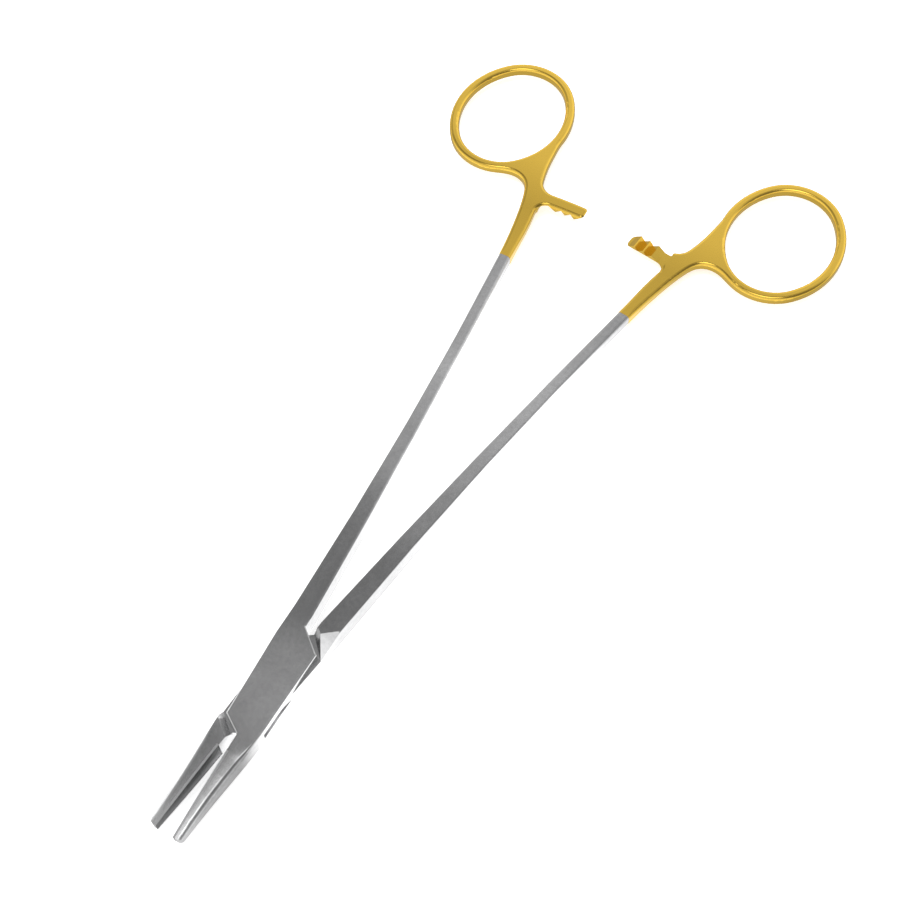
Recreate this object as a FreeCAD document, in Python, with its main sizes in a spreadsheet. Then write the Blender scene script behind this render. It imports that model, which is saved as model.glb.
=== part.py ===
import FreeCAD, Part
import math
import os

from FreeCAD import Placement, Rotation, Vector

# Surgical needle holder, box-lock pattern, 180 mm nominal length.
# Both arms are drawn in the closed position: pivot on Z, jaws towards -Y, finger rings towards +Y.
# In an arm's own plan, positive x is the side of its ring and negative x the side of its jaw.
# Heights are measured from the middle plane; each placement lifts the piece so that the box rests on z = 0.

doc = FreeCAD.newDocument("needle_holder")
sheet = doc.addObject("Spreadsheet::Sheet", "sheet")

SIZES = [
    ("rest_angle", 3.2, "each arm's turn from closed in the pictured pose, degrees"),
    ("ring_angle", 10.36, "line from pivot to ring centre against the middle line when closed, degrees"),
    ("ring_distance", 135.4, "pivot to ring centre"),
    ("box_half_height", 2.3, "half the thickness of the box lock"),
    ("box_half_width", 4.09, "half the width of the box lock at the pivot"),
    ("box_flare", 0.035, "widening of the box lock towards the rings, per mm"),
    ("box_reach", 8.75, "pivot to the slanted rear ends of the box lock, square to them"),
    ("box_rear_slope", 39.5, "slope of the slanted rear ends, degrees"),
    ("box_front_slope", 33.0, "slope of the slanted front ends, degrees"),
    ("box_side_end", 8.3, "pivot to the end of the box lock's straight outer side"),
    ("box_edge", 0.35, "rounding of the long edges at the box lock"),
    ("tongue_height", 1.56, "thickness of the tongue"),
    ("tongue_play", 0.03, "clearance above and below the tongue"),
    ("end_play", 0.12, "clearance between tongue and slot ends"),
    ("cheek_play", 0.2, "clearance between a cheek's end and the foot of the ramp"),
    ("ramp_run", 1.1, "length of the ramp from tongue to full thickness"),
    ("facet_slope", 18.1, "slope of the facet behind the ramp, degrees"),
    ("facet_line", 7.375, "distance of the facet's top edge from the pivot, square to it"),
    ("facet_turn", 43.5, "direction of the facet's top edge against the x axis, degrees"),
    ("facet_length", 9.0, "length of the facet's cut along its top edge"),
    ("facet_middle", 11.5, "pivot to the middle of the facet's cut, along its top edge"),
    ("pin_radius", 1.5, "radius of the pivot pin"),
    ("pin_head_radius", 1.9, "radius of the pin's flared ends"),
    ("pin_play", 0.03, "radial clearance of the pin in the tongue"),
    ("jaw_gap", 0.03, "distance of each gripping face from the middle line when closed"),
    ("jaw_length", 20.0, "length of a jaw from the box lock to its tip"),
    ("jaw_root_width", 3.54, "width of a jaw at the box lock"),
    ("jaw_tip_width", 1.75, "width of a jaw at its tip"),
    ("jaw_tip_height", 1.0, "half the thickness at the tip"),
    ("jaw_tip_round", 1.25, "rounding of the tip in plan"),
    ("insert_back", 3.1, "root of a jaw to the root end of its insert"),
    ("insert_thick", 0.4, "thickness of the inserts"),
    ("shank_start", 14.0, "end of the box part"),
    ("shank_split", 0.25, "inner edge of the shank at the box part, from the middle line"),
    ("shank_root_width", 4.0, "width of the shank at the box part"),
    ("shank_middle_width", 2.85, "width of the shank at half its length"),
    ("shank_end_width", 2.6, "width of the shank at the neck"),
    ("shank_bow", 0.72, "bow of the shank towards the middle line"),
    ("shank_root_height", 2.28, "half the thickness of the shank at the box part"),
    ("shank_middle_height", 1.85, "half the thickness of the shank at half its length"),
    ("neck_half_height", 1.35, "half the thickness at the start of the neck"),
    ("ring_half_height", 1.03, "half the thickness of the ring and the ratchet bar"),
    ("ring_half_length", 14.0, "longer half axis of the ring's centre line"),
    ("ring_half_width", 11.68, "shorter half axis of the ring's centre line"),
    ("ring_wire", 2.0, "width of the ring's wire"),
    ("ring_lean", 3.8, "lean of the ring's long axis towards the middle line, degrees"),
    ("ring_edge", 0.7, "rounding of the upper edges of ring, neck and ratchet bar"),
    ("ring_bevel", 0.42, "bevel of their lower edges"),
    ("bar_back", 19.8, "ring centre to the near edge of the ratchet bar, towards the pivot"),
    ("bar_width", 3.0, "width of the ratchet bar"),
    ("bar_end", 11.1, "end of the ratchet bar, degrees inwards of the ring centre line"),
    ("bar_corner", 1.0, "rounding of the bar's end corners"),
    ("bar_fillet_far", 3.4, "fillet between bar and neck on the ring side"),
    ("bar_fillet_near", 2.2, "fillet between bar and shank on the box side"),
    ("tooth_first", 10.08, "first tooth tip, degrees"),
    ("tooth_pitch", 1.03, "angle between tooth tips, degrees"),
    ("tooth_lead", 0.62, "flank of a tooth facing the bar's end, degrees"),
    ("tooth_web", 0.4, "thickness of the bar below the teeth"),
    ("tooth_lip", 0.15, "thickness of the bar's lip beyond the teeth"),
    ("tooth_past", 0.4, "tooth tips past the middle plane"),
    ("tooth_run_out", 0.77, "last flank, degrees"),
    ("mill_wall", 6.28, "wall where the milled half of the bar ends, degrees"),
    ("mill_past", 1.6, "run of the mill past both edges of the bar"),
]
for row, (alias, value, note) in enumerate(SIZES, 1):
    sheet.set("A%d" % row, alias)
    sheet.set("B%d" % row, str(value))
    sheet.set("C%d" % row, note)
    sheet.setAlias("B%d" % row, alias)
doc.recompute()


def size(alias):
    return float(sheet.get(alias))


TEETH = 3
CUT = 60.0             # length of cuts that run past the whole piece
CLEAR = 1.0            # what a cutting outline stands clear of the piece
SHANK_SECTIONS = 5
SEAM = 0.03            # step of the plated neck above the bare shank
RING_END_SHARE = 0.875 # radius at the ring's ends as a share of its shorter half axis
JOIN_OUT = 205.0       # where the neck's edges meet the ring, degrees round from its far end
JOIN_IN = -92.0

# Jaw sections: share of the jaw's length, share of its narrowing, rounding of the outer edges.
JAW_STATIONS = ((0.0, 0.0, 0.35), (0.155, 0.13, 0.8), (0.37, 0.38, 1.0), (0.58, 0.62, 1.1), (0.8, 0.84, 1.0),
                (1.0, 1.0, 0.85))
JAW_THINNING = 1.8     # exponent of the thinning towards the tip
JAW_SPREAD = 0.12      # widening of a jaw behind its tip, per mm

# Neck in plan, from the ring centre in long half axes of the ring: outwards and along the middle line.
NECK_START = (-1.154, -2.375)
NECK_THIN = -1.475     # end of the neck's thinning part
NECK_OUTER = ((-0.989, -1.864), (-0.922, -1.508), (-0.847, -1.224), (-0.744, -1.031), (-0.566, -0.953))
NECK_INNER = ((-0.907, -0.298), (-0.925, -0.498), (-0.957, -0.704), (-1.010, -0.910), (-1.125, -1.309),
              (-1.208, -1.864))
BAR_ROOT = (-0.986, -1.267)     # middle of the neck where the ratchet bar grows out of it


def through(stations, y):
    """Parabola through three stations (y, value)."""
    (y0, a), (y1, b), (y2, c) = stations
    first = (b - a) / (y1 - y0)
    second = ((c - b) / (y2 - y1) - first) / (y2 - y0)
    return a + first * (y - y0) + second * (y - y0) * (y - y1)


def feature(body, kind, name, **properties):
    made = body.newObject(kind, name)
    for key, value in properties.items():
        setattr(made, key, value)
    return made


def bind(made, prop, expression):
    made.setExpression(prop, expression)


def sketch(body, name, outline, plane="XY_Plane", offset=Placement()):
    made = body.newObject("Sketcher::SketchObject", name)
    base = [part for part in body.Origin.OriginFeatures if part.Role == plane][0]
    made.AttachmentSupport = [(base, "")]
    made.MapMode = "FlatFace"
    made.AttachmentOffset = offset
    for curve in outline:
        made.addGeometry(curve, False)
    return made


def polygon(points):
    ends = points[1:] + points[:1]
    return [Part.LineSegment(a, b) for a, b in zip(points, ends)]


def across(y):
    """Offset of a sketch on the XZ plane to the station y."""
    return Placement(Vector(0, 0, -y), Rotation())


def corner_arc(x, z, radius, turn_x, turn_z):
    """Quarter circle round an outer corner, from its upright side to its level side."""
    bend = radius * (1 - math.sqrt(0.5))
    return (Vector(x, z - turn_z * radius, 0), Vector(x - turn_x * bend, z - turn_z * bend, 0),
            Vector(x - turn_x * radius, z, 0))


def bar_section(side, inner, outer, height, radius):
    """Section of the shank: rectangle with four rounded corners."""
    lower_out = corner_arc(side * outer, -height, radius, side, -1)
    upper_out = corner_arc(side * outer, height, radius, side, 1)
    upper_in = corner_arc(side * inner, height, radius, -side, 1)
    lower_in = corner_arc(side * inner, -height, radius, -side, -1)
    return [Part.Arc(*lower_out), Part.LineSegment(lower_out[0], upper_out[0]),
            Part.Arc(*upper_out), Part.LineSegment(upper_out[2], upper_in[2]),
            Part.Arc(*upper_in), Part.LineSegment(upper_in[0], lower_in[0]),
            Part.Arc(*lower_in), Part.LineSegment(lower_in[2], lower_out[2])]


def jaw_section(side, width, height, radius):
    """Section of a jaw: flat gripping face, rounded outer edges."""
    face = -side * size("jaw_gap")
    outer = -side * (size("jaw_gap") + width)
    lower = corner_arc(outer, -height, radius, -side, -1)
    upper = corner_arc(outer, height, radius, -side, 1)
    return [Part.LineSegment(Vector(face, -height, 0), lower[2]), Part.Arc(*lower),
            Part.LineSegment(lower[0], upper[0]), Part.Arc(*upper),
            Part.LineSegment(upper[2], Vector(face, height, 0)),
            Part.LineSegment(Vector(face, height, 0), Vector(face, -height, 0))]


def pick_edges(shape, wanted):
    return ["Edge%d" % (i + 1) for i, edge in enumerate(shape.Edges) if wanted(edge)]


def is_upright(edge):
    a, b = edge.Vertexes[0].Point, edge.Vertexes[-1].Point
    return math.hypot(a.x - b.x, a.y - b.y) < 0.01 and abs(a.z - b.z) > 1


def upright_at(shape, point):
    return pick_edges(shape, lambda e: is_upright(e)
                      and math.hypot(e.Vertexes[0].X - point.x, e.Vertexes[0].Y - point.y) < 0.3)


def ring_frame(side):
    """Centre of the ring, its long axis away from the pivot and its short axis outwards."""
    turn = math.radians(size("ring_angle"))
    lean = math.radians(size("ring_lean"))
    centre = Vector(side * math.sin(turn), math.cos(turn), 0) * size("ring_distance")
    along = Vector(-side * math.sin(lean), math.cos(lean), 0)
    out = Vector(side * math.cos(lean), math.sin(lean), 0)
    return centre, along, out


def neck_point(side, out, along):
    """Point of the neck from its place in long half axes of the ring."""
    centre = ring_frame(side)[0]
    return centre + Vector(side * out, along, 0) * size("ring_half_length")


def shank_span():
    """Heights along the arm at the shank's root, middle and end."""
    root = size("shank_start")
    end = neck_point(1, *NECK_START).y
    return root, (root + end) / 2, end


def shank_edges(y):
    """Inner and outer edge of the shank, from the middle line."""
    first = size("shank_split") + size("shank_root_width") / 2
    last = neck_point(1, *NECK_START).x
    centres = (first, (first + last) / 2 - size("shank_bow"), last)
    widths = (size("shank_root_width"), size("shank_middle_width"), size("shank_end_width"))
    centre = through(list(zip(shank_span(), centres)), y)
    width = through(list(zip(shank_span(), widths)), y)
    return centre - width / 2, centre + width / 2


def shank_height(y):
    heights = (size("shank_root_height"), size("shank_middle_height"), size("neck_half_height"))
    return through(list(zip(shank_span(), heights)), y)


def shank_rounding(y):
    root, _, end = shank_span()
    return size("box_edge") + (size("ring_edge") - size("box_edge")) * (y - root) / (end - root)


def slope_of(edge, side, y):
    """Direction of the shank's inner (0) or outer (1) edge at y."""
    step = 0.01
    rise = (shank_edges(y + step)[edge] - shank_edges(y - step)[edge]) / (2 * step)
    return Vector(side * rise, 1, 0).normalize()


def box_apex(play=0.0):
    """Distance from the pivot at which the slanted ends cross the middle line."""
    return (size("box_reach") - play) / math.cos(math.radians(size("box_rear_slope")))


def slope_tan(end):
    return math.tan(math.radians(size("box_%s_slope" % end)))


def box_corner(apex, end):
    """Crossing of a slanted end with the box side: both distances from the pivot."""
    flare = size("box_flare") * (1 if end == "rear" else -1)
    along = (apex - slope_tan(end) * size("box_half_width")) / (1 + slope_tan(end) * flare)
    return size("box_half_width") + flare * along, along


def jaw_root():
    return box_apex() + 2 * size("jaw_gap")


def jaw_tip():
    return jaw_root() + size("jaw_length")


def ring_arcs():
    """Four-arc oval: radii of end and side arcs on the centre line, their offsets, half angle of an end arc."""
    length, width = size("ring_half_length"), size("ring_half_width")
    end = RING_END_SHARE * width
    shift = length - end
    side = (shift ** 2 + width ** 2 - end ** 2) / (2 * (width - end))
    return end, side, shift, side - width, math.degrees(math.atan2(side - width, shift))


def ring_point(side, angle, grow):
    """Point of the ring whose outward direction is at an angle from its far end, counted outwards."""
    centre, along, out = ring_frame(side)
    end_radius, side_radius, end_shift, side_shift, half = ring_arcs()
    angle = (angle + 90) % 360 - 90
    direction = along * math.cos(math.radians(angle)) + out * math.sin(math.radians(angle))
    if abs(angle) <= half:
        return centre + along * end_shift + direction * (end_radius + grow)
    if abs(angle - 180) <= half:
        return centre - along * end_shift + direction * (end_radius + grow)
    shift = -side_shift if 0 < angle < 180 else side_shift
    return centre + out * shift + direction * (side_radius + grow)


def ring_direction(side, angle):
    """Direction of growing angle along the ring."""
    _, along, out = ring_frame(side)
    return out * math.cos(math.radians(angle)) - along * math.sin(math.radians(angle))


def ring_curves(side, grow, first, last):
    """Arcs of the oval from one angle to the other."""
    half = ring_arcs()[4]
    breaks = [turn + sign * half for turn in (-180, 0, 180, 360) for sign in (-1, 1)]
    angles = [first] + [angle for angle in sorted(breaks, reverse=first > last)
                        if min(first, last) < angle < max(first, last)] + [last]
    curves = []
    for a, b in zip(angles, angles[1:]):
        curves.append(Part.Arc(ring_point(side, a, grow), ring_point(side, (a + b) / 2, grow),
                               ring_point(side, b, grow)))
    return curves


def spline(points, start, end):
    curve = Part.BSplineCurve()
    curve.interpolate(Points=points, InitialTangent=start, FinalTangent=end)
    return curve


def polar(side, radius, inward):
    """Point at a distance from the pivot, degrees inwards of the line to the ring centre."""
    angle = math.radians(size("ring_angle") - inward)
    return Vector(side * radius * math.sin(angle), radius * math.cos(angle), 0)


def bar_near():
    return size("ring_distance") - size("bar_back")


def add_neck(body, side):
    """Neck, finger ring and ratchet bar, then their rounded edges."""
    start = shank_span()[2]
    inner_edge, outer_edge = shank_edges(start)
    grow = size("ring_wire") / 2
    low_out = Vector(side * outer_edge, start, 0)
    low_in = Vector(side * inner_edge, start, 0)
    outer = spline([low_out] + [neck_point(side, *point) for point in NECK_OUTER]
                   + [ring_point(side, JOIN_OUT, grow)],
                   slope_of(1, side, start), ring_direction(side, JOIN_OUT) * -1)
    inner = spline([ring_point(side, JOIN_IN, grow)] + [neck_point(side, *point) for point in NECK_INNER]
                   + [low_in],
                   ring_direction(side, JOIN_IN) * -1, slope_of(0, side, start) * -1)
    curves = [outer] + ring_curves(side, grow, JOIN_OUT, JOIN_IN) + [inner, Part.LineSegment(low_in, low_out)]
    shape = sketch(body, "neck_outline", curves)
    pad = feature(body, "PartDesign::Pad", "neck", Profile=shape, SideType="Symmetric")
    bind(pad, "Length", "2 * sheet.neck_half_height")

    near = bar_near()
    far = near + size("bar_width")
    root_at = neck_point(1, *BAR_ROOT)
    root = size("ring_angle") - math.degrees(math.atan2(root_at.x, root_at.y))
    end = size("bar_end")
    corners = [polar(side, r, a) for r, a in ((near, root), (near, end), (far, end), (far, root))]
    bar_curves = [Part.Arc(corners[0], polar(side, near, (root + end) / 2), corners[1]),
                  Part.LineSegment(corners[1], corners[2]),
                  Part.Arc(corners[2], polar(side, far, (root + end) / 2), corners[3]),
                  Part.LineSegment(corners[3], corners[0])]
    bar_outline = sketch(body, "bar_outline", bar_curves)
    bar = feature(body, "PartDesign::Pad", "ratchet_bar", Profile=bar_outline, SideType="Symmetric")
    bind(bar, "Length", "2 * sheet.neck_half_height")

    half = ring_arcs()[4]
    hole_outline = sketch(body, "ring_hole_outline", ring_curves(side, -grow, -half, 360 - half))
    feature(body, "PartDesign::Pocket", "ring_hole", Profile=hole_outline, SideType="Symmetric", Length=CUT)
    doc.recompute()

    def crossing(radius):
        """Upright edge where the bar leaves the neck."""
        found = [e.Vertexes[0].Point for e in body.Tip.Shape.Edges if is_upright(e)
                 and abs(math.hypot(e.Vertexes[0].X, e.Vertexes[0].Y) - radius) < 0.01]
        return max(found, key=lambda point: abs(point.x))

    for name, points, alias in (("bar_fillet_1", [crossing(far)], "bar_fillet_far"),
                                ("bar_fillet_2", [crossing(near)], "bar_fillet_near"),
                                ("bar_corners", corners[1:3], "bar_corner")):
        base = body.Tip
        names = [n for point in points for n in upright_at(base.Shape, point)]
        rounded = feature(body, "PartDesign::Fillet", name, Base=(base, names))
        bind(rounded, "Radius", "sheet." + alias)
        doc.recompute()
    thin_neck(body, start)
    doc.recompute()
    base = body.Tip
    thin_end = neck_point(side, 0, NECK_THIN).y

    def on_faces(edge):
        heights = [abs(v.Z) for v in edge.Vertexes]
        level_cuts = [all(abs(v.Y - y) < 0.01 for v in edge.Vertexes) for y in (start, thin_end)]
        return min(heights) > size("ring_half_height") - 0.05 and not is_upright(edge) and not any(level_cuts)

    upper = pick_edges(base.Shape, lambda edge: on_faces(edge) and edge.Vertexes[0].Z > 0)
    rounded = feature(body, "PartDesign::Fillet", "upper_edges", Base=(base, upper))
    bind(rounded, "Radius", "sheet.ring_edge")
    doc.recompute()
    base = body.Tip
    lower = pick_edges(base.Shape, lambda edge: on_faces(edge) and edge.Vertexes[0].Z < 0)
    bevel = feature(body, "PartDesign::Chamfer", "lower_edges", Base=(base, lower))
    bind(bevel, "Size", "sheet.ring_bevel")
    doc.recompute()


def thin_neck(body, start):
    """Takes the neck down in a hollow curve to the level faces of the ring."""
    end = neck_point(1, 0, NECK_THIN).y
    high, low = size("neck_half_height"), size("ring_half_height")
    run = end - start
    radius = (run ** 2 + (high - low) ** 2) / (2 * (high - low))
    turn = math.asin(run / radius) / 2
    reach = ring_point(1, 0, size("ring_wire") / 2).y + CLEAR
    curves = []
    for up in (1, -1):
        points = [Vector(end, up * low, 0), Vector(reach, up * low, 0), Vector(reach, up * (high + CLEAR), 0),
                  Vector(start, up * (high + CLEAR), 0), Vector(start, up * high, 0)]
        middle = Vector(end - radius * math.sin(turn), up * (low + radius * (1 - math.cos(turn))), 0)
        curves += [Part.LineSegment(a, b) for a, b in zip(points, points[1:])]
        curves.append(Part.Arc(points[-1], middle, points[0]))
    outline = sketch(body, "thinning_outline", curves, "YZ_Plane")
    feature(body, "PartDesign::Pocket", "thinning", Profile=outline, SideType="Symmetric", Length=2 * CUT)


def add_box(body, side, apex):
    """The part that holds the lock, with the slanted ends in plan."""
    rear_x, rear_y = box_corner(apex, "rear")
    front_x, front_y = box_corner(apex, "front")
    gap = size("jaw_gap")
    start = size("shank_start")
    inner, outer = shank_edges(start)
    side_y = size("box_side_end")
    side_x = size("box_half_width") + size("box_flare") * side_y
    plan = [(-gap, -jaw_root()), (-gap, -apex - slope_tan("front") * gap), (front_x, -front_y),
            (side_x, side_y), (outer, start), (inner, start), (inner, apex + slope_tan("rear") * inner),
            (-rear_x, rear_y), (-front_x, -front_y), (-gap - size("jaw_root_width"), -jaw_root())]
    outline = sketch(body, "box_outline", polygon([Vector(side * x, y, 0) for x, y in plan]))
    pad = feature(body, "PartDesign::Pad", "box", Profile=outline, SideType="Symmetric")
    bind(pad, "Length", "2 * sheet.box_half_height")
    doc.recompute()
    base = body.Tip

    def long_edge(edge):
        if is_upright(edge) or abs(edge.Vertexes[0].Z) < size("box_half_height") - 0.01:
            return False
        if edge.Length < 1.5 or edge.BoundBox.YMax > start + 0.01:
            return False
        return edge.BoundBox.YLength > 0.01

    rounded = feature(body, "PartDesign::Fillet", "box_edges", Base=(base, pick_edges(base.Shape, long_edge)))
    bind(rounded, "Radius", "sheet.box_edge")
    doc.recompute()


def add_shank(body, side):
    low, _, high = shank_span()
    sections = []
    for i in range(SHANK_SECTIONS):
        y = low + (high - low) * i / (SHANK_SECTIONS - 1)
        inner, outer = shank_edges(y)
        step = SEAM if i == SHANK_SECTIONS - 1 else 0
        curves = bar_section(side, inner + step, outer - step, shank_height(y) - step, shank_rounding(y))
        sections.append(sketch(body, "shank_section_%d" % i, curves, "XZ_Plane", across(y)))
    feature(body, "PartDesign::AdditiveLoft", "shank", Profile=sections[0], Sections=sections[1:], Ruled=True)
    doc.recompute()


def add_jaw_form(body, side):
    """Full outer form of a jaw, shared by the jaw and its insert."""
    sections = []
    for share, narrowing, radius in JAW_STATIONS:
        y = -jaw_root() - share * size("jaw_length")
        width = size("jaw_root_width") + (size("jaw_tip_width") - size("jaw_root_width")) * narrowing
        drop = (size("box_half_height") - size("jaw_tip_height")) * share ** JAW_THINNING
        curves = jaw_section(side, width, size("box_half_height") - drop, radius)
        sections.append(sketch(body, "jaw_section_%d" % len(sections), curves, "XZ_Plane", across(y)))
    feature(body, "PartDesign::AdditiveLoft", "jaw", Profile=sections[0], Sections=sections[1:], Ruled=True)
    doc.recompute()


def cut_seat(body, side, keep_insert):
    """Takes the insert's space out of a jaw, or leaves only that space."""
    seat = -size("jaw_gap") - size("insert_thick")
    root = -jaw_root() - size("insert_back")
    past = -jaw_tip() - CLEAR
    if keep_insert:
        outer = seat - size("jaw_root_width") - CLEAR
        before = -jaw_root() + CLEAR
        plan = [(seat, past), (outer, past), (outer, before), (CLEAR, before), (CLEAR, root), (seat, root)]
    else:
        plan = [(seat, root), (CLEAR, root), (CLEAR, past), (seat, past)]
    outline = sketch(body, "seat_outline", polygon([Vector(side * x, y, 0) for x, y in plan]))
    feature(body, "PartDesign::Pocket", "insert_seat", Profile=outline, SideType="Symmetric", Length=CUT)
    doc.recompute()


def round_tip(body, side):
    """Plan rounding at the outer corner of the tip."""
    radius = size("jaw_tip_round")
    tip = -jaw_tip()
    x = size("jaw_tip_width") + size("jaw_gap") + JAW_SPREAD * radius
    bend = radius * (1 - math.sqrt(0.5))
    start = Vector(-side * x, tip + radius, 0)
    middle = Vector(-side * (x - bend), tip + bend, 0)
    end = Vector(-side * (x - radius), tip, 0)
    low = Vector(end.x, tip - CLEAR, 0)
    out = Vector(-side * (x + CLEAR), tip - CLEAR, 0)
    high = Vector(-side * (x + CLEAR), tip + radius, 0)
    curves = [Part.Arc(start, middle, end), Part.LineSegment(end, low), Part.LineSegment(low, out),
              Part.LineSegment(out, high), Part.LineSegment(high, start)]
    outline = sketch(body, "tip_outline", curves)
    feature(body, "PartDesign::Pocket", "tip_round", Profile=outline, SideType="Symmetric", Length=CUT)
    doc.recompute()


def cut_teeth(body, side):
    """Milled half of the ratchet bar with its teeth; the two arms carry them on opposite faces."""
    middle = bar_near() + size("bar_width") / 2
    valley = -size("ring_half_height") + size("tooth_web")
    above = size("neck_half_height") + CLEAR
    past_end = size("bar_end") + CLEAR

    def at(inward, z):
        return Vector(polar(side, middle, inward).x, side * z, 0)

    lip_start = size("tooth_first") + size("tooth_lead")
    fall = (size("tooth_web") - size("tooth_lip")) / (size("bar_end") - lip_start)
    points = [at(past_end, valley - fall * (past_end - lip_start))]
    for i in range(TEETH):
        angle = size("tooth_first") - i * size("tooth_pitch")
        points += [at(angle + size("tooth_lead"), valley), at(angle, size("tooth_past"))]
    points += [at(angle - size("tooth_run_out"), valley), at(size("mill_wall"), valley)]
    points += [at(size("mill_wall"), above), at(past_end, above)]
    outline = sketch(body, "teeth_outline", polygon(points), "XZ_Plane", across(middle))
    cut = feature(body, "PartDesign::Pocket", "teeth", Profile=outline, SideType="Symmetric")
    bind(cut, "Length", "sheet.bar_width + 2 * sheet.mill_past")
    doc.recompute()


def cut_slot(body, side):
    """Slot through the female arm that leaves the two cheeks."""
    x = 2 * size("box_half_width")
    apex = box_apex()
    rear = apex - slope_tan("rear") * x
    front = apex - slope_tan("front") * x
    plan = [(-x, -front), (0, -apex), (x, -apex), (x, rear), (0, apex), (-x, apex)]
    outline = sketch(body, "slot_outline", polygon([Vector(side * px, py, 0) for px, py in plan]))
    cut = feature(body, "PartDesign::Pocket", "slot", Profile=outline, SideType="Symmetric")
    bind(cut, "Length", "sheet.tongue_height + 2 * sheet.tongue_play")


def cut_cheek_pockets(body):
    """Pockets above and below the tongue of the male arm, with a ramp at each end."""
    level = size("tongue_height") / 2
    top = size("box_half_height")
    over = top + CLEAR
    back = size("box_half_width")
    for end, way in (("rear", 1), ("front", -1)):
        slope = size("box_%s_slope" % end)
        foot = box_apex() * math.cos(math.radians(slope)) + size("cheek_play")
        high = foot + size("ramp_run") * (over - level) / (top - level)
        curves = []
        for up in (1, -1):
            curves += polygon([Vector(-way * back, up * level, 0), Vector(way * foot, up * level, 0),
                               Vector(way * high, up * over, 0), Vector(-way * back, up * over, 0)])
        turn = Placement(Vector(), Rotation(Vector(0, 1, 0), 90 - slope))
        outline = sketch(body, "cheek_pocket_outline_" + end, curves, "XZ_Plane", turn)
        feature(body, "PartDesign::Pocket", "cheek_pocket_" + end, Profile=outline, SideType="Symmetric",
                Length=CUT / 2)


def cut_facet(body):
    """Slanted flat behind the rear ramp of the male arm, above and below."""
    line = -size("facet_line")
    level = size("tongue_height") / 2
    top = size("shank_root_height")
    over = top + CLEAR
    fall = math.tan(math.radians(size("facet_slope")))
    end = line + (top - level) / fall
    curves = []
    for up in (1, -1):
        curves += polygon([Vector(line - CLEAR / fall, up * over, 0), Vector(end, up * level, 0),
                           Vector(end, up * over, 0)])
    turn = Rotation(Vector(0, 1, 0), size("facet_turn") - 90)
    away = turn.multVec(Vector(0, 0, -size("facet_middle")))
    outline = sketch(body, "facet_outline", curves, "XZ_Plane", Placement(away, turn))
    cut = feature(body, "PartDesign::Pocket", "facet", Profile=outline, SideType="Symmetric")
    bind(cut, "Length", "sheet.facet_length")
    doc.recompute()


def pin_profile(grow=0.0, flared=True):
    """Half section of the pivot pin."""
    radius = size("pin_radius") + grow
    top = size("box_half_height")
    if not flared:
        return polygon([Vector(0, -top, 0), Vector(radius, -top, 0), Vector(radius, top, 0), Vector(0, top, 0)])
    head = size("pin_head_radius")
    neck = top - (head - size("pin_radius"))
    return polygon([Vector(0, -top, 0), Vector(head, -top, 0), Vector(radius, -neck, 0),
                    Vector(radius, neck, 0), Vector(head, top, 0), Vector(0, top, 0)])


def cut_bore(body, grow, flared):
    outline = sketch(body, "bore_outline", pin_profile(grow, flared), "XZ_Plane")
    feature(body, "PartDesign::Groove", "bore", Profile=outline, ReferenceAxis=(outline, ["V_Axis"]), Angle=360)
    doc.recompute()


def place(body, side):
    turn = Rotation(Vector(0, 0, 1), -side * size("rest_angle"))
    body.Placement = Placement(Vector(0, 0, size("box_half_height")), turn)


def make_arm(label, side, female):
    body = doc.addObject("PartDesign::Body", label)
    body.Label = label
    body.AllowCompound = True
    add_neck(body, side)
    add_box(body, side, box_apex(0.0 if female else size("end_play")))
    add_shank(body, side)
    add_jaw_form(body, side)
    cut_seat(body, side, False)
    round_tip(body, side)
    if female:
        cut_slot(body, side)
    else:
        cut_cheek_pockets(body)
        cut_facet(body)
    cut_teeth(body, side)
    cut_bore(body, 0.0 if female else size("pin_play"), female)
    place(body, side)
    return body


def make_pin(label, side):
    body = doc.addObject("PartDesign::Body", label)
    body.Label = label
    outline = sketch(body, "pin_outline", pin_profile(), "XZ_Plane")
    feature(body, "PartDesign::Revolution", "pin", Profile=outline, ReferenceAxis=(outline, ["V_Axis"]), Angle=360)
    doc.recompute()
    place(body, side)
    return body


def make_insert(label, side):
    """Hard plate on the gripping face, flush with the jaw all round."""
    body = doc.addObject("PartDesign::Body", label)
    body.Label = label
    add_jaw_form(body, side)
    cut_seat(body, side, True)
    round_tip(body, side)
    place(body, side)
    return body


MALE, FEMALE = 1, -1
pieces = [
    make_arm("female_arm", FEMALE, True),
    make_arm("male_arm", MALE, False),
    make_pin("pivot_pin", FEMALE),
    make_insert("female_jaw_insert", FEMALE),
    make_insert("male_jaw_insert", MALE),
]
doc.recompute()

for item in doc.Objects:
    if "Invalid" in item.State or "Error" in item.State:
        raise RuntimeError("%s did not build" % item.Name)
os.makedirs("parts", exist_ok=True)
for piece in pieces:
    shape = piece.Shape
    if shape.isNull() or not shape.isValid() or len(shape.Solids) != 1:
        raise RuntimeError("%s is not one valid solid" % piece.Label)
    print(piece.Label, round(shape.Volume, 2), len(shape.Faces), shape.BoundBox)
    shape.exportStep("parts/%s.step" % piece.Label)
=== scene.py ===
import math

import bpy
from mathutils import Matrix, Vector


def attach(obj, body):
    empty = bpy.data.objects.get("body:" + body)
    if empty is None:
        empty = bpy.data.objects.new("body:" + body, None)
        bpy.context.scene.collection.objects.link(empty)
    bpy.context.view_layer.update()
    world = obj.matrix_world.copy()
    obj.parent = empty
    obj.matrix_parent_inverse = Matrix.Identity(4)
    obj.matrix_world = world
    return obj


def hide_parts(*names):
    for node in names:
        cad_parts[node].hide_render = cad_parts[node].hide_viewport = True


# Surgical needle holder on a white table: satin steel, gold-plated handles, knurled jaw inserts.
# Sizes are in metres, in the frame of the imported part: pivot on Z, rings towards +Y, table at z = 0.

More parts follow.
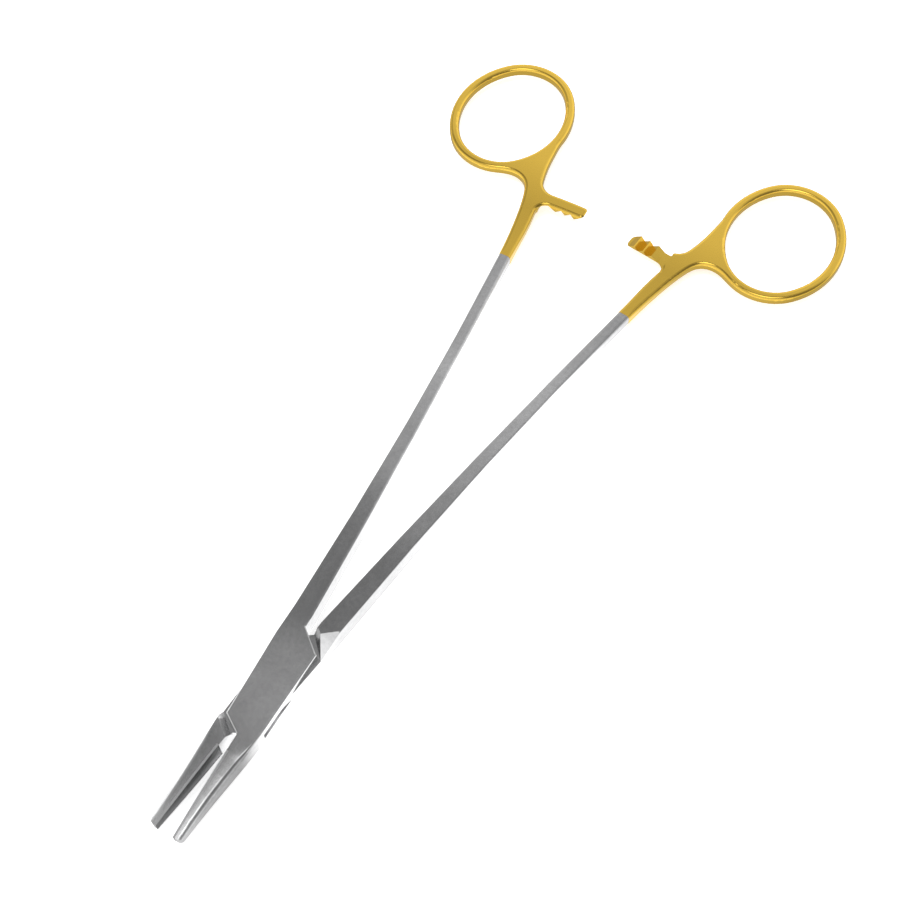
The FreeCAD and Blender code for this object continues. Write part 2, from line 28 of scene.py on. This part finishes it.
MM = 0.001
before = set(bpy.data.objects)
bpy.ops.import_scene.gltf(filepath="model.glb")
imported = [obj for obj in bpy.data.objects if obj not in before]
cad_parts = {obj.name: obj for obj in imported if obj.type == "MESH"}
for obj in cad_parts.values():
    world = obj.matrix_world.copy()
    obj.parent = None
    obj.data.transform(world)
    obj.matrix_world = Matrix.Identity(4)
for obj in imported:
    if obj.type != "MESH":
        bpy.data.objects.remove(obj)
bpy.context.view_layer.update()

BOX_HALF_HEIGHT = 2.3 * MM      # middle plane of the instrument above the table
REST_ANGLE = 3.2                # each arm's turn from closed, degrees
GOLD_START = 99.94 * MM         # pivot to the start of the plating, along the closed arm's middle line
GOLD_FADE = 0.05 * MM

JAW_GAP = 0.03 * MM             # gripping face to the middle line when closed
JAW_TIP = 31.4 * MM
JAW_DOME = 25                   # 1/m, the backs of the jaws fall by this times the squared width
DOME_START = -12 * MM
DOME_FULL = -16 * MM
INSERT_START = 14.5 * MM
INSERT_THICK = 0.4 * MM
INSERT_PROFILE = ((14.5, 2.255), (18.8, 2.083), (23.0, 1.812), (27.4, 1.430),
                  (31.4, 1.0))  # mm from the pivot, half height in mm
KNURL_PITCH = 0.7 * MM
KNURL_STEP = 0.0875 * MM
KNURL_DEPTH = 0.16 * MM

CAMERA_AT = Vector((92.31, -70.50, 277.30)) * MM
CAMERA_AIM = Vector((0.82, 56.21, 2.3)) * MM
CAMERA_UP = Vector((-0.4565, 0.7406, 0.4931))
CAMERA_LENS = 66.92             # mm on a 36 mm sensor

STEEL = (0.64, 0.64, 0.645, 1)
# Painted highlight: lighter steel colour given to the ramps of the box lock.
RAMP_HIGHLIGHT_STEEL = (0.92, 0.92, 0.92, 1)
GOLD = (0.96, 0.63, 0.10, 1)
HARD_DARK = (0.22, 0.22, 0.225, 1)
HARD_LIGHT = (0.36, 0.36, 0.365, 1)
STEEL_ROUGH = 0.27
GOLD_ROUGH = 0.17
INSERT_ROUGH = 0.34

# Painted light and shade: brightness multiplied into the metal's colour at distances from the pivot in mm,
# with a painted highlight at the jaw tips.
PAINTED_LIGHT_ALONG = ((-31, 1.5), (-25, 1.0), (-14, 0.82), (-3, 1.08), (6, 0.9), (13, 0.58), (30, 0.58),
          (45, 0.85), (70, 1.1), (92, 0.8), (99, 0.78), (113, 0.8), (124, 1.03))
PAINTED_LIGHT_FROM = -35
PAINTED_LIGHT_TO = 150

RAMP_SLOPE = (0.59, 0.12)       # upward part of a ramp's normal, and how far it may differ
RAMP_PLACE = (10.5 * MM, 2.5 * MM)

# Sky: brightness in units of SKY_STRENGTH at sines of the height above the horizon.
SKY = ((0.001, 0.5), (0.45, 0.5), (0.70, 0.42), (0.79, 0.35), (0.86, 0.26), (0.90, 0.19), (0.999, 0.19))
SKY_STRENGTH = 2.0
OVERHEAD = (0.06, -0.15, 0.985)  # direction of the large lamp above the jaws
OVERHEAD_LEVEL = 1.8
DARK_SIDE = (0.75, 0.0, 0.65)   # unlit side of the room
DIM_SIDE = (-0.75, 0.1, 0.66)
DIM_SHARE = 0.7                 # darkness of the dim side against the dark one
DARK_LEVEL = 0.25

TABLE_SIZE = 3.0                # half the table's width
TABLE_DROP = 0.02 * MM          # table below the part's lowest face
TABLE_WHITE = (0.9, 0.9, 0.9, 1)
TABLE_GLOW = 0.6
MIRRORED_NEAR = 2.1             # brightness of the table in the steel, and beyond it in the gold
MIRRORED_FAR = 0.5
MIRROR_CHANGE = (0.085, 0.12)
JAW_SIDE = (0.6, -0.8, 0)       # towards where the table's glow, seen only in reflections, is dimmer beside the jaws
JAW_SIDE_CHANGE = (0.009, 0.015)
JAW_SIDE_LEVEL = 0.3

WHITE = (1, 1, 1, 1)


class Nodes:
    """Short way to add and link shader nodes."""

    def __init__(self, owner):
        self.tree = owner.node_tree

    def add(self, kind, inputs=None, **settings):
        node = self.tree.nodes.new(kind)
        for key, value in settings.items():
            setattr(node, key, value)
        for key, value in (inputs or {}).items():
            if isinstance(value, bpy.types.NodeSocket):
                self.tree.links.new(value, node.inputs[key])
            else:
                node.inputs[key].default_value = value
        return node

    def math(self, operation, *values):
        return self.add("ShaderNodeMath", dict(enumerate(values)), operation=operation).outputs[0]

    def dot(self, place, direction):
        """Distance of a place along a direction."""
        node = self.add("ShaderNodeVectorMath", {0: place, 1: tuple(direction)}, operation="DOT_PRODUCT")
        return node.outputs["Value"]

    def axis(self, vector, name):
        return self.add("ShaderNodeSeparateXYZ", {"Vector": vector}).outputs[name]

    def mapped(self, value, start, end, low=0.0, high=1.0, kind="LINEAR"):
        """Value mapped from start..end to low..high, and held beyond them."""
        node = self.add("ShaderNodeMapRange", {"Value": value, "From Min": start, "From Max": end,
                                               "To Min": low, "To Max": high}, interpolation_type=kind)
        return node.outputs["Result"]

    def mix(self, share, first, second, blend="MIX"):
        node = self.add("ShaderNodeMix", {0: share, 6: first, 7: second}, data_type="RGBA", blend_type=blend)
        return node.outputs[2]

    def grey_ramp(self, value, stops):
        """Grey level that runs through the stops (place, level)."""
        node = self.add("ShaderNodeValToRGB", {"Fac": value})
        elements = node.color_ramp.elements
        for place, level in stops:
            elements.new(place).color = (level, level, level, 1)
        elements.remove(elements[0])
        elements.remove(elements[-1])
        return node.outputs["Color"]

    def spot(self, direction, middle, outer, inner):
        """1 within inner degrees of a direction, falling to 0 at outer degrees."""
        near = self.dot(direction, Vector(middle).normalized())
        limits = [math.cos(math.radians(angle)) for angle in (outer, inner)]
        return self.mapped(near, *limits, kind="SMOOTHSTEP")


def new_material(name):
    material = bpy.data.materials.new(name)
    material.use_nodes = True
    material.node_tree.nodes.clear()
    return material, Nodes(material)


def arm_metal(name, side):
    """Satin steel, gold plated past GOLD_START; side is +1 for the arm whose ring is at +X."""
    material, nodes = new_material(name)
    place = nodes.add("ShaderNodeTexCoord").outputs["Object"]
    lean = math.radians(REST_ANGLE)
    along = nodes.dot(place, (side * math.sin(lean), math.cos(lean), 0))
    plated = nodes.mapped(along, GOLD_START - GOLD_FADE, GOLD_START + GOLD_FADE)
    grain = nodes.add("ShaderNodeTexNoise", {"Vector": place, "Scale": 1300.0, "Detail": 8.0,
                                             "Roughness": 0.7}).outputs["Fac"]
    cloud = nodes.add("ShaderNodeTexNoise", {"Vector": place, "Scale": 140.0, "Detail": 4.0}).outputs["Fac"]
    tone = nodes.math("ADD", nodes.math("MULTIPLY", grain, 0.5), nodes.math("MULTIPLY", cloud, 0.5))
    light = nodes.mapped(tone, 0.3, 0.7, 0.82, 1.18)
    shade = nodes.add("ShaderNodeVectorMath", {0: STEEL[:3], "Scale": light}, operation="SCALE").outputs[0]
    # Painted highlight: the ramps of the box lock get the lighter steel colour.
    steel = nodes.mix(ramp_highlight_mask(nodes, place), shade, RAMP_HIGHLIGHT_STEEL)
    # The steel and gold colour is multiplied by painted light and shade along the arm.
    colour = nodes.mix(1.0, nodes.mix(plated, steel, GOLD), painted_light_tone(nodes, place), "MULTIPLY")
    bump = nodes.add("ShaderNodeBump", {"Height": tone, "Strength": 0.12, "Distance": 0.05 * MM,
                                        "Normal": dome_normal(nodes, place, side)}).outputs["Normal"]
    rough = nodes.mapped(plated, 0.0, 1.0, STEEL_ROUGH, GOLD_ROUGH)
    metal = nodes.add("ShaderNodeBsdfPrincipled", {"Base Color": colour, "Metallic": 1.0,
                                                   "Roughness": rough, "Normal": bump})
    nodes.add("ShaderNodeOutputMaterial", {"Surface": metal.outputs["BSDF"]})
    return material


def ramp_highlight_mask(nodes, place):
    """Painted highlight: 1 on the ramps at both ends of the box lock, picked by the tilt of their normals."""
    normal = nodes.add("ShaderNodeTexCoord").outputs["Normal"]
    slope = nodes.math("COMPARE", nodes.axis(normal, "Z"), *RAMP_SLOPE)
    far = nodes.math("ABSOLUTE", nodes.axis(place, "Y"))
    near_end = nodes.math("COMPARE", far, *RAMP_PLACE)
    return nodes.math("MULTIPLY", slope, near_end)


def painted_light_tone(nodes, place):
    """Painted light and shade: a brightness, multiplied into the colour, that differs along the arm."""
    share = nodes.mapped(nodes.axis(place, "Y"), PAINTED_LIGHT_FROM * MM, PAINTED_LIGHT_TO * MM)
    return nodes.grey_ramp(share, [((y - PAINTED_LIGHT_FROM) / (PAINTED_LIGHT_TO - PAINTED_LIGHT_FROM), level)
                                   for y, level in PAINTED_LIGHT_ALONG])


def dome_normal(nodes, place, side):
    """Normal of the jaws' slightly domed backs; flat behind them."""
    lean = math.radians(REST_ANGLE)
    across = nodes.dot(place, (math.cos(lean), -side * math.sin(lean), 0))
    share = nodes.mapped(nodes.axis(place, "Y"), DOME_START, DOME_FULL, kind="SMOOTHSTEP")
    dome = nodes.math("MULTIPLY", nodes.math("MULTIPLY", across, across), share)
    height = nodes.math("MULTIPLY", dome, -JAW_DOME)
    return nodes.add("ShaderNodeBump", {"Height": height, "Strength": 1.0, "Distance": 1.0}).outputs["Normal"]


def insert_metal():
    """Dark sintered hard metal on the gripping face, ground like the jaw on the others."""
    material, nodes = new_material("hard_metal")
    coords = nodes.add("ShaderNodeTexCoord")
    grain = nodes.add("ShaderNodeTexNoise", {"Vector": coords.outputs["Object"], "Scale": 1500.0,
                                             "Detail": 4.0}).outputs["Fac"]
    sideways = nodes.math("ABSOLUTE", nodes.axis(coords.outputs["Normal"], "X"))
    gripping = nodes.math("GREATER_THAN", sideways, 0.5)
    colour = nodes.mix(gripping, STEEL, nodes.mix(grain, HARD_DARK, HARD_LIGHT))
    metal = nodes.add("ShaderNodeBsdfPrincipled", {"Base Color": colour, "Metallic": 1.0,
                                                   "Roughness": INSERT_ROUGH})
    nodes.add("ShaderNodeOutputMaterial", {"Surface": metal.outputs["BSDF"]})
    return material


def dress(node, material):
    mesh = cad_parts[node].data
    mesh.materials.clear()
    mesh.materials.append(material)


def insert_half_height(y):
    """Half the insert's height at a distance from the pivot, straight between INSERT_PROFILE's places."""
    for (near, high), (far, low) in zip(INSERT_PROFILE, INSERT_PROFILE[1:]):
        if y <= far * MM:
            break
    share = (y / MM - near) / (far - near)
    return (high + (low - high) * share) * MM


def knurl_height(along, across):
    """Share of the full height of a pyramid knurl, 0 in the grooves and 1 at the tips."""
    diagonals = ((along + across) / KNURL_PITCH, (along - across) / KNURL_PITCH)
    return min(1 - abs(2 * (value - math.floor(value)) - 1) for value in diagonals)


def knurled_insert(node, body, side, material):
    """Insert with a cross-cut gripping face whose tips lie in the node's own face; side as for the arm."""
    rows = round((JAW_TIP - INSERT_START) / KNURL_STEP)
    columns = round(2 * insert_half_height(INSERT_START) / KNURL_STEP)
    points, faces = [], []
    for depth in (0, INSERT_THICK):
        for i in range(rows + 1):
            y = INSERT_START + (JAW_TIP - INSERT_START) * i / rows
            half = insert_half_height(y)
            for j in range(columns + 1):
                z = half * (2 * j / columns - 1)
                inner = 0 < j < columns and 0 < i < rows
                groove = KNURL_DEPTH * (1 - knurl_height(y, z)) if inner and depth == 0 else 0
                points.append((-side * (JAW_GAP + depth + groove), -y, z))
    count = (rows + 1) * (columns + 1)

    def at(i, j, layer):
        return layer * count + i * (columns + 1) + j

    for i in range(rows):
        for j in range(columns):
            for layer, flip in ((0, False), (1, True)):
                quad = [at(i, j, layer), at(i + 1, j, layer), at(i + 1, j + 1, layer), at(i, j + 1, layer)]
                faces.append(quad[::-1] if flip else quad)
    for i in range(rows):
        faces.append([at(i, 0, 0), at(i, 0, 1), at(i + 1, 0, 1), at(i + 1, 0, 0)])
        faces.append([at(i, columns, 0), at(i + 1, columns, 0), at(i + 1, columns, 1), at(i, columns, 1)])
    for j in range(columns):
        faces.append([at(0, j, 0), at(0, j + 1, 0), at(0, j + 1, 1), at(0, j, 1)])
        faces.append([at(rows, j, 0), at(rows, j, 1), at(rows, j + 1, 1), at(rows, j + 1, 0)])
    if side < 0:
        faces = [face[::-1] for face in faces]
    mesh = bpy.data.meshes.new(node + "_knurled")
    mesh.from_pydata(points, [], faces)
    mesh.transform(Matrix.Translation((0, 0, BOX_HALF_HEIGHT))
                   @ Matrix.Rotation(-side * math.radians(REST_ANGLE), 4, "Z"))
    mesh.materials.append(material)
    piece = bpy.data.objects.new(node + "_knurled", mesh)
    bpy.context.collection.objects.link(piece)
    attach(piece, body)
    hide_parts(node)


def look_at(obj, place, aim, up):
    """Places obj so that its -Z axis points at aim and its Y axis goes with up."""
    forward = (aim - place).normalized()
    right = forward.cross(up).normalized()
    top = right.cross(forward)
    turn = Matrix((right, top, -forward)).transposed()
    obj.matrix_world = Matrix.Translation(place) @ turn.to_4x4()


def add_camera():
    data = bpy.data.cameras.new("camera")
    data.lens = CAMERA_LENS
    data.sensor_width = 36
    data.clip_start = 0.01
    camera = bpy.data.objects.new("camera", data)
    bpy.context.collection.objects.link(camera)
    look_at(camera, CAMERA_AT, CAMERA_AIM, CAMERA_UP)
    bpy.context.scene.camera = camera


def area_light(name, place, aim, width, power):
    """Square lamp that the metal doesn't mirror, because the sky already has its brightness."""
    data = bpy.data.lights.new(name, "AREA")
    data.shape = "RECTANGLE"
    data.size = width
    data.size_y = width
    data.energy = power
    lamp = bpy.data.objects.new(name, data)
    bpy.context.collection.objects.link(lamp)
    look_at(lamp, Vector(place), Vector(aim), Vector((0, 1, 0.001)))
    lamp.visible_glossy = False


def add_floor():
    """White table that glows for reflections only, as light no lamp gives: brighter in the steel than in the
    gold and beside the jaws.
    """
    mesh = bpy.data.meshes.new("floor")
    corners = [(x * TABLE_SIZE, y * TABLE_SIZE, -TABLE_DROP) for x, y in ((-1, -1), (1, -1), (1, 1), (-1, 1))]
    mesh.from_pydata(corners, [], [(0, 1, 2, 3)])
    floor = bpy.data.objects.new("floor", mesh)
    bpy.context.collection.objects.link(floor)
    material, nodes = new_material("white_table")
    place = nodes.add("ShaderNodeTexCoord").outputs["Object"]
    along = nodes.mapped(nodes.axis(place, "Y"), *MIRROR_CHANGE, MIRRORED_NEAR, MIRRORED_FAR)
    beside = nodes.mapped(nodes.dot(place, JAW_SIDE), *JAW_SIDE_CHANGE, 1.0, JAW_SIDE_LEVEL)
    diffuse = nodes.add("ShaderNodeBsdfDiffuse", {"Color": TABLE_WHITE})
    glow = nodes.add("ShaderNodeEmission", {"Color": WHITE, "Strength": TABLE_GLOW})
    table = nodes.add("ShaderNodeAddShader", {0: diffuse.outputs[0], 1: glow.outputs[0]})
    mirrored = nodes.add("ShaderNodeEmission", {"Color": WHITE,
                                                "Strength": nodes.math("MULTIPLY", along, beside)})
    path = nodes.add("ShaderNodeLightPath")
    seen = nodes.add("ShaderNodeMixShader", {0: path.outputs["Is Glossy Ray"], 1: table.outputs[0],
                                             2: mirrored.outputs[0]})
    nodes.add("ShaderNodeOutputMaterial", {"Surface": seen.outputs[0]})
    mesh.materials.append(material)


def add_sky():
    """Grey studio, brighter towards the horizon, and white where the camera looks past the table."""
    world = bpy.data.worlds.new("studio")
    bpy.context.scene.world = world
    world.use_nodes = True
    world.node_tree.nodes.clear()
    nodes = Nodes(world)
    direction = nodes.add("ShaderNodeTexCoord").outputs["Generated"]
    base = nodes.math("MULTIPLY", nodes.grey_ramp(nodes.axis(direction, "Z"), SKY), SKY_STRENGTH)
    dark = nodes.math("MULTIPLY_ADD", nodes.spot(direction, DIM_SIDE, 40, 15), DIM_SHARE,
                      nodes.spot(direction, DARK_SIDE, 38, 15))
    dimmed = nodes.math("MULTIPLY", base, nodes.mapped(dark, 0.0, 1.0, 1.0, DARK_LEVEL))
    level = nodes.math("MULTIPLY_ADD", nodes.spot(direction, OVERHEAD, 17, 10), OVERHEAD_LEVEL, dimmed)
    studio = nodes.add("ShaderNodeBackground", {"Color": WHITE, "Strength": level})
    white = nodes.add("ShaderNodeBackground", {"Color": WHITE})
    path = nodes.add("ShaderNodeLightPath")
    mix = nodes.add("ShaderNodeMixShader", {0: path.outputs["Is Camera Ray"], 1: studio.outputs[0],
                                            2: white.outputs[0]})
    nodes.add("ShaderNodeOutputWorld", {"Surface": mix.outputs[0]})


dress("female_arm", arm_metal("female_arm_metal", -1))
dress("male_arm", arm_metal("male_arm_metal", 1))
dress("pivot_pin", arm_metal("pin_metal", 1))
hard = insert_metal()
for insert_node, insert_body, insert_side in (("female_jaw_insert", "female", -1),
                                              ("male_jaw_insert", "male", 1)):
    dress(insert_node, hard)
    knurled_insert(insert_node, insert_body, insert_side, hard)

add_floor()
add_sky()
area_light("softbox", (-0.25, 0.15, 0.6), (0, 0.05, 0), 0.4, 3.0)
add_camera()

bpy.context.scene.view_settings.view_transform = "Standard"
